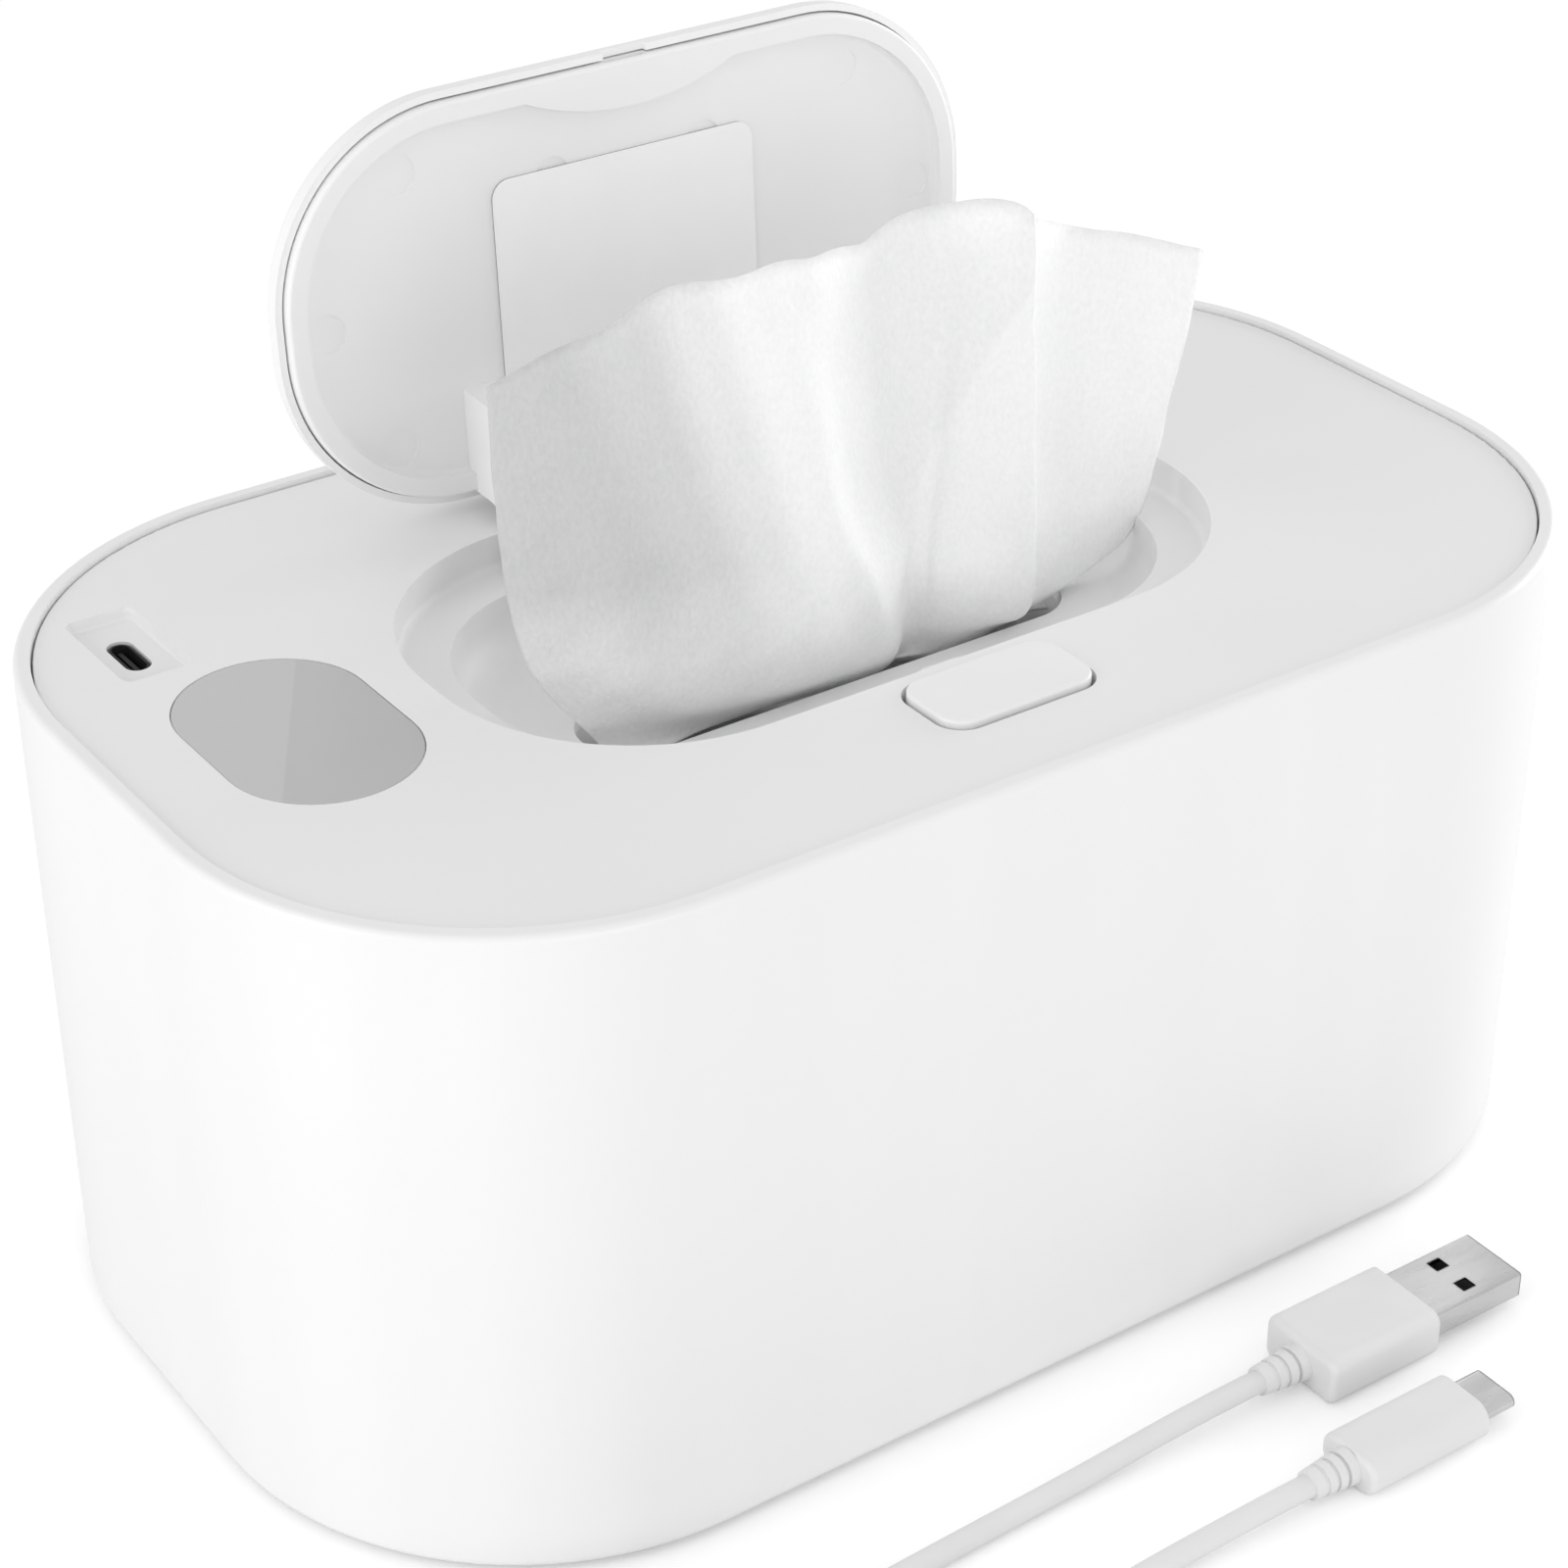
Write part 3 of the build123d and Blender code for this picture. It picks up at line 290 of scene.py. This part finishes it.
def wipe_cloth():
    """Spunlace nonwoven: a tangle of fibres drawn upwards in random damper patches, with painted shade on its left
    side, a painted highlight on its crest and fold, and painted light on its low part.
    """
    finish = Finish("wipe_cloth", srgb(250), 0.62, specular=0.3)
    # painted shade and highlight: a grey ramp across the crest, dark on the left panel and white on the crest
    first, last = crest_shade_and_highlight[0][0], crest_shade_and_highlight[-1][0]
    zero = crest_slant[2] * wipe_middle
    along = finish.slanted(crest_slant)
    along = finish.ranged(along, zero + first * mm, zero + last * mm, 0.0, 1.0)
    ramp = finish.nodes.new("ShaderNodeValToRGB")
    ramp.color_ramp.interpolation = "EASE"
    stops = ramp.color_ramp.elements
    while len(stops) < len(crest_shade_and_highlight):
        stops.new(0.5)
    for stop, (place, grey) in zip(stops, crest_shade_and_highlight):
        stop.position = (place - first) / (last - first)
        stop.color = srgb(grey)
    finish.links.new(along, ramp.inputs["Fac"])
    finish.tone = ramp.outputs["Color"]
    # painted highlight: the cloth right of the fold line turns white
    zero = fold_slant[2] * wipe_middle + fold_highlight_place * mm
    finish.mottle(finish.slanted(fold_slant), srgb(255), zero - fold_blur, zero + fold_blur)
    # painted light: the low cloth is lightened where the well shades it
    finish.mottle(finish.slanted((0, 0, -1)), srgb(254), -low_painted_light_top, -low_painted_light_bottom)
    fibres = finish.noise(fibre_grain, 4.0, (1, 1, 0.6))
    finish.mottle(fibres, fibre_shade, 0.35, 0.85, "MULTIPLY")
    finish.mottle(finish.noise(damp_grain, 3.0), damp_shade, 0.45, 0.8, "MULTIPLY")
    finish.bump(fibres, 0.16 * mm, 0.7)
    finish.bump(finish.cells(0.8 * mm, (1, 1, 0.7)), 0.1 * mm, 0.6)
    shader = finish.shader
    shader.inputs["Subsurface Weight"].default_value = 0.3
    shader.inputs["Subsurface Radius"].default_value = (1.0, 1.0, 1.0)
    shader.inputs["Subsurface Scale"].default_value = 1.0 * mm
    shader.inputs["Sheen Weight"].default_value = 0.1
    return finish


def cord_white():
    """Satin thermoplastic elastomer of the plugs and the cable's jacket."""
    finish = Finish("cord_white", srgb(230), 0.4)
    finish.mottle(finish.noise(12 * mm, 1.0), srgb(227), 0.3, 0.7)
    return finish.bump(finish.noise(0.7 * mm, 1.0), 0.003 * mm, 0.4)


finishes = {
    "shell_white": shell_white(),
    "cover_grey": cover_grey(),
    "inner_white": inner_white(),
    "insulation_foam": insulation_foam(),
    "silicone_seal": rubber("silicone_seal", 220),
    "foot_rubber": rubber("foot_rubber", 180, 0.8),
    "plate_aluminium": metal("plate_aluminium", 220, 0.35, (0.1, 1, 1)),
    "film_amber": film_amber(),
    "screw_steel": metal("screw_steel", 200, 0.3),
    "sensor_black": rubber("sensor_black", 34, 0.45),
    "fuse_body": rubber("fuse_body", 205, 0.6),
    "circuit_board": circuit_board(),
    "led_frame": rubber("led_frame", 60, 0.6),
    "lens_grey": lens_grey(),
    "connector_metal": connector_metal(),
    "lead_insulation": rubber("lead_insulation", 120, 0.5),
    "wipe_cloth": wipe_cloth(),
    "cord_white": cord_white(),
}


def dress_nodes():
    """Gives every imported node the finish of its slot, save four with one of their own."""
    own = {
        "lid_outer": moulded("lid_white", 248, 0.4, 0.6 * mm, 0.002 * mm),
        "lid_inner": moulded("liner_white", 246, 0.5, 0.6 * mm, 0.002 * mm),
        # the socket's steel shell takes painted shade, its tongue its own black
        "usb_c_socket": socket_black_and_shade(),
        "usb_c_tongue": socket_black_and_shade(),
    }
    for part in frame["record"]["subparts"]:
        finish = own.get(part["node"], finishes[part["material_slot"]])
        for place in frame["nodes"][part["node"]].material_slots:
            place.material = finish.material


def squash_spring():
    """Gives the button's return spring, which stands on the latch bracket, a mesh of its own."""
    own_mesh(frame["nodes"]["button_spring"])


def wear(piece, slot):
    """Finish of a new piece, taken from a slot of the record."""
    piece.data.materials.append(finishes[slot].material)


def add_mesh(name, points, faces, smooth=True):
    mesh = bpy.data.meshes.new(name)
    mesh.from_pydata([tuple(p) for p in points], [], faces)
    mesh.update()
    mesh.polygons.foreach_set("use_smooth", [smooth] * len(mesh.polygons))
    piece = bpy.data.objects.new(name, mesh)
    bpy.context.collection.objects.link(piece)
    return piece


# ---- charging cable -------------------------------------------------------------------------
cord_diameter = 3.6
cord_low = 1.85             # height of its middle on the floor
plug_a_height, plug_c_height = 4.0, 3.2     # middles of the plugs' reliefs
lead_c_route = [
    (7.5, -112.5, plug_c_height), (-4.0, -112.5, plug_c_height),
    (-25.0, -112.0, cord_low), (-47.0, -113.6, cord_low),
]
lead_a_route = [
    (-43.0, -92.4, cord_low), (-17.0, -91.6, cord_low),
    (4.0, -92.0, plug_a_height), (16.0, -92.0, plug_a_height),
]
coil_middle = (-84.0, -111.5)
coil_inner, coil_outer, coil_leave = 16.4, 23.8, 27.6
coil_second_layer = 5.5
coil_points = 16            # per turn
coil_turns = 6.56
coil_first_angle = -36.0    # degrees, where the cord comes in
spline_shrink = 0.981       # the spline's radius over its points' radius


def coil_station(turn):
    """Radius and height of the wound cord after a number of turns."""
    turns = [0.0, 2.0, 2.4, 3.0, 5.0, 6.0, 6.35, 6.6]
    radii = [
        coil_outer, coil_inner, coil_inner, coil_inner,
        coil_outer, coil_outer, coil_leave, coil_leave,
    ]
    low, high = cord_low, coil_second_layer
    heights = [low, low, low, high, high, high, low, low]
    return np.interp(turn, turns, radii) / spline_shrink, np.interp(turn, turns, heights)


def add_cord():
    route = list(lead_c_route)
    for step in range(int(coil_points * coil_turns) + 1):
        turn = step / coil_points
        radius, height = coil_station(turn)
        angle = radians(coil_first_angle) - 2 * pi * turn
        x = coil_middle[0] + radius * cos(angle)
        route.append((x, coil_middle[1] + radius * sin(angle), height))
    route += lead_a_route
    curve = bpy.data.curves.new("charging_cord", "CURVE")
    curve.dimensions = "3D"
    curve.bevel_depth = cord_diameter / 2 * mm
    curve.bevel_resolution = 6
    curve.resolution_u = 6
    curve.use_fill_caps = True
    spline = curve.splines.new("NURBS")
    spline.points.add(len(route) - 1)
    for point, place in zip(spline.points, route):
        point.co = (place[0] * mm, place[1] * mm, place[2] * mm, 1.0)
    spline.order_u = 3
    spline.use_endpoint_u = True
    spline.use_smooth = True
    cord = bpy.data.objects.new("charging_cord", curve)
    bpy.context.collection.objects.link(cord)
    wear(cord, "cord_white")
    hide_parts("cord_coil", "cord_lead_a", "cord_lead_c")
    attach(cord, "base")


# ---- moist wipe ------------------------------------------------------------------------------
wipe_thickness = 0.35
wipe_folds = [              # top, middle and low station of each fold line, from left to right
    [(-53, 1, 148), (-54, -2, 125), (-51, -3, 106)],
    [(-46, -1, 151), (-48, -5, 125), (-45, -8, 106)],
    [(-38, -4, 154), (-38, -8, 126), (-36, -12, 103)],
    [(-29, -7, 159), (-28, -11, 127), (-25, -14, 102)],
    [(-20, -9, 159), (-18, -13, 126), (-13, -16, 102)],
    [(-14, -10, 160), (-9, -14, 125), (-3, -16, 106)],
    [(-7, -9, 159), (-5, -14, 124), (1, -16, 106)],
    [(1, -5, 157), (0, -11, 121), (4, -14, 106)],
    [(11, 1, 154), (8, -6, 121), (9, -11, 105)],
    [(19, 4, 155), (15, -3, 119), (12, -9, 105)],
    [(26, 4, 155), (20, -3, 118), (14, -10, 104)],
    [(31, 0, 156), (22, -6, 118), (15, -12, 104)],
    [(34, -4, 156), (27, -9, 117), (20, -14, 101)],
    [(35, -7, 155), (33, -11, 116), (31, -14, 96)],
    [(37, -3, 153), (35, -7, 114), (31, -11, 97)],
    [(48, -1, 148), (45, -5, 112), (40, -9, 97)],
    [(58, -3, 145), (53, -7, 115), (48, -8, 96)],
    [(69, -6, 141), (62, -8, 119), (56, -7, 97)],
]
opening_height = 91.0       # the well's floor, where the slot begins
wipe_feet = [               # where each fold line enters the slot, x and y
    (-41, -3.5), (-37, -5.8), (-29, -8), (-19, -9.5), (-9, -10.2), (1, -10.5),
    (5, -10.5), (8, -10), (10, -8.2), (12, -7.5), (14, -7.8), (17, -9.2),
    (21, -10.2), (27, -10.4), (27, -9.6), (31, -9.8), (36, -8.6), (40, -6),
]
throat_half_length = 40.0
throat_rows = [             # height and y of the cloth inside the slot and the carrier's collar
    (88.6, -7.6), (86.8, -4.0), (84.6, 0.0), (82.2, -1.0), (79.4, -6.0), (77.0, -3.0),
]
hidden_half_length = 58.0
hidden_rows = [             # the same, zigzag on the stack inside the tub
    (74.4, 3.0), (73.4, 12.0), (71.8, 6.0), (71.2, -8.0), (70.4, -15.0),
    (69.2, -8.0), (68.8, 8.0), (68.2, 14.0), (67.2, 8.0), (66.8, -4.0),
]
throat_pleat = 0.8          # height of the gathers in the slot
pleat_waves = 9.0
hidden_pleat_y, hidden_pleat_z = 0.4, 0.25
per_fold, per_row = 12, 12  # mesh cells between two fold lines, and between two rows
crumple_foot, crumple_rise = 90.0, 12.0     # crumples begin here and are full this much higher


def smooth_samples(stations, count):
    """Points along a Catmull-Rom curve through the stations, evenly spread by station number."""
    stations = np.asarray(stations, float)
    before, after = 2 * stations[:1] - stations[1:2], 2 * stations[-1:] - stations[-2:-1]
    padded = np.concatenate([before, stations, after])
    t = np.linspace(0, len(stations) - 1, count)
    i = np.minimum(t.astype(int), len(stations) - 2)
    f = (t - i).reshape((-1,) + (1,) * (stations.ndim - 1))
    a, b, c, d = padded[i], padded[i + 1], padded[i + 2], padded[i + 3]
    square, cube = 2 * a - 5 * b + 4 * c - d, 3 * b - a - 3 * c + d
    return 0.5 * (2 * b + (c - a) * f + square * f**2 + cube * f**3)


def wipe_stations():
    """Rows of points down the cloth, each from its left edge to its right one."""
    rows = list(np.array(wipe_folds, float).transpose(1, 0, 2))
    feet = np.array(wipe_feet)
    rows.append(np.column_stack([feet, np.full(len(feet), opening_height)]))
    across = np.linspace(-1, 1, len(wipe_folds))
    pleats = np.sin(across * pleat_waves)
    for height, y in throat_rows:
        lift = throat_pleat * pleats
        rows.append(np.column_stack([across * throat_half_length, y + lift, height + lift]))
    for height, y in hidden_rows:
        rows.append(np.column_stack([across * hidden_half_length, y + hidden_pleat_y * pleats,
                                     height + hidden_pleat_z * pleats]))
    return np.array(rows)


def add_wipe():
    """The gathered cloth, which stands in the slot."""
    stations = wipe_stations()
    down = smooth_samples(stations, (len(stations) - 1) * per_row + 1)
    across = smooth_samples(down.transpose(1, 0, 2), (len(wipe_folds) - 1) * per_fold + 1)
    grid = across.transpose(1, 0, 2)
    rows, columns = grid.shape[:2]
    x, z = grid[:, :, 0], grid[:, :, 2]
    seen = np.clip((z - crumple_foot) / crumple_rise, 0, 1)
    crumple = 0.35 * np.sin(x / 3.1 + z / 7.0) * np.sin(z / 5.3 - x / 9.0)
    crumple += 0.22 * np.sin(x / 1.7 - z / 2.9) * np.sin(z / 2.3 + 1.0)
    grid[:, :, 1] += crumple * seen
    points = (grid * mm).reshape(-1, 3)
    corners = [r * columns + c for r in range(rows - 1) for c in range(columns - 1)]
    faces = [(i, i + 1, i + columns + 1, i + columns) for i in corners]
    wipe = add_mesh("moist_wipe", points, faces)
    thick = wipe.modifiers.new("thickness", "SOLIDIFY")
    thick.thickness = wipe_thickness * mm
    thick.offset = 0.0
    bpy.context.view_layer.objects.active = wipe
    with bpy.context.temp_override(object=wipe, active_object=wipe):
        bpy.ops.object.modifier_apply(modifier=thick.name)
    wear(wipe, "wipe_cloth")
    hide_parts("wipe")
    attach(wipe, "cover")
    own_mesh(wipe)


# ---- bare sticker inside the lid ---------------------------------------------------------------
hinge = next(j for j in frame["joints"] if j["name"] == "lid_hinge")
hinge_place = Vector(hinge["pos_m"])
lid_opening = radians(hinge["range_deg"][1])
liner_floor = 102.7         # height of the lid's inner face when it is shut
sticker_length, sticker_width = 46.5, 40.0
sticker_middle = (-1.0, 2.9)
sticker_radius = 3.0
sticker_thickness = 0.3
sticker_sink = 0.02         # its back reaches this far into the liner
sticker_corner_steps = 8


def as_open(piece):
    """Turns a piece that is drawn on the shut lid to where the lid rests open."""
    turn = Matrix.Rotation(-lid_opening, 4, "X")
    turn = Matrix.Translation(hinge_place) @ turn @ Matrix.Translation(-hinge_place)
    piece.data.transform(turn)
    piece.data.update()


def add_sticker():
    outline = []
    half = (sticker_length / 2 - sticker_radius, sticker_width / 2 - sticker_radius)
    for corner, (sx, sy) in enumerate(((1, 1), (-1, 1), (-1, -1), (1, -1))):
        for step in range(sticker_corner_steps + 1):
            angle = pi / 2 * (corner + step / sticker_corner_steps)
            x = sticker_middle[0] + sx * half[0] + sticker_radius * cos(angle)
            y = sticker_middle[1] + sy * half[1] + sticker_radius * sin(angle)
            outline.append((x, y))
    count = len(outline)
    low, high = liner_floor - sticker_thickness, liner_floor + sticker_sink
    points = [(x * mm, y * mm, z * mm) for z in (low, high) for x, y in outline]
    faces = [tuple(reversed(range(count))), tuple(range(count, 2 * count))]
    faces += [(i, (i + 1) % count, (i + 1) % count + count, i + count) for i in range(count)]
    sticker = add_mesh("bare_sticker", points, faces, smooth=False)
    as_open(sticker)
    paper = Finish("sticker_paper", srgb(253), 0.5)
    paper.mottle(paper.noise(7 * mm), srgb(251))
    paper.bump(paper.noise(0.4 * mm), 0.004 * mm)
    sticker.data.materials.append(paper.material)
    # painted shade: the sticker's cut edges are coloured mid grey, as the thin shadow along them
    shaded_cut_edge = Finish("sticker_edge_shade", srgb(176), 0.8)
    shaded_cut_edge.mottle(shaded_cut_edge.noise(2 * mm), srgb(166))
    sticker.data.materials.append(shaded_cut_edge.material)
    for face in sticker.data.polygons[2:]:
        face.material_index = 1
    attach(sticker, "lid")


# ---- stage and light ---------------------------------------------------------------------------
world_level = 0.76
floor_reach = 4.0
floor_glow = 0.2            # for the camera alone: the floor is white and keeps its shadow


def add_floor():
    r = floor_reach
    corners = [(-r, -r, 0), (r, -r, 0), (r, r, 0), (-r, r, 0)]
    floor = add_mesh("studio_floor", corners, [(0, 1, 2, 3)], False)
    material = bpy.data.materials.new("studio_floor")
    material.use_nodes = True
    nodes, links = material.node_tree.nodes, material.node_tree.links
    nodes.clear()
    output = nodes.new("ShaderNodeOutputMaterial")
    matte = nodes.new("ShaderNodeBsdfDiffuse")
    matte.inputs["Color"].default_value = srgb(248)
    glow = nodes.new("ShaderNodeEmission")
    path = nodes.new("ShaderNodeLightPath")
    add = nodes.new("ShaderNodeAddShader")
    strength = nodes.new("ShaderNodeMath")
    strength.operation = "MULTIPLY"
    strength.inputs[1].default_value = floor_glow
    links.new(path.outputs["Is Camera Ray"], strength.inputs[0])
    links.new(strength.outputs["Value"], glow.inputs["Strength"])
    links.new(matte.outputs["BSDF"], add.inputs[0])
    links.new(glow.outputs["Emission"], add.inputs[1])
    links.new(add.outputs["Shader"], output.inputs["Surface"])
    floor.data.materials.append(material)


def add_world():
    world = bpy.data.worlds.new("studio")
    world.use_nodes = True
    nodes, links = world.node_tree.nodes, world.node_tree.links
    background = nodes["Background"]
    background.inputs["Color"].default_value = (1, 1, 1, 1)
    path = nodes.new("ShaderNodeLightPath")
    seen = nodes.new("ShaderNodeMath")
    seen.operation = "MAXIMUM"
    links.new(path.outputs["Is Camera Ray"], seen.inputs[0])
    links.new(path.outputs["Is Transmission Ray"], seen.inputs[1])
    level = nodes.new("ShaderNodeMapRange")
    level.inputs["To Min"].default_value = world_level
    level.inputs["To Max"].default_value = 1.0
    links.new(seen.outputs["Value"], level.inputs["Value"])
    links.new(level.outputs["Result"], background.inputs["Strength"])
    bpy.context.scene.world = world


def add_lamp(name, place, size, power, target=(0.0, 0.0, 0.08)):
    data = bpy.data.lights.new(name, "AREA")
    data.shape = "SQUARE"
    data.size = size
    data.energy = power
    lamp = bpy.data.objects.new(name, data)
    bpy.context.collection.objects.link(lamp)
    lamp.location = place
    lamp.rotation_euler = (Vector(target) - Vector(place)).to_track_quat("-Z", "Y").to_euler()


def add_lights():
    add_world()
    add_lamp("left_softbox", (-0.95, 0.0, 0.35), 0.7, 2.5)
    add_lamp("front_softbox", (-0.1, -1.05, 0.25), 0.7, 2.0)
    add_lamp("right_softbox", (1.0, 0.0, 0.2), 0.5, 4.2)


bpy.context.scene.view_settings.view_transform = "Standard"
add_camera()
dress_nodes()
add_cord()
add_wipe()
add_sticker()
add_floor()
add_lights()

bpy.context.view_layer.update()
squash_spring()
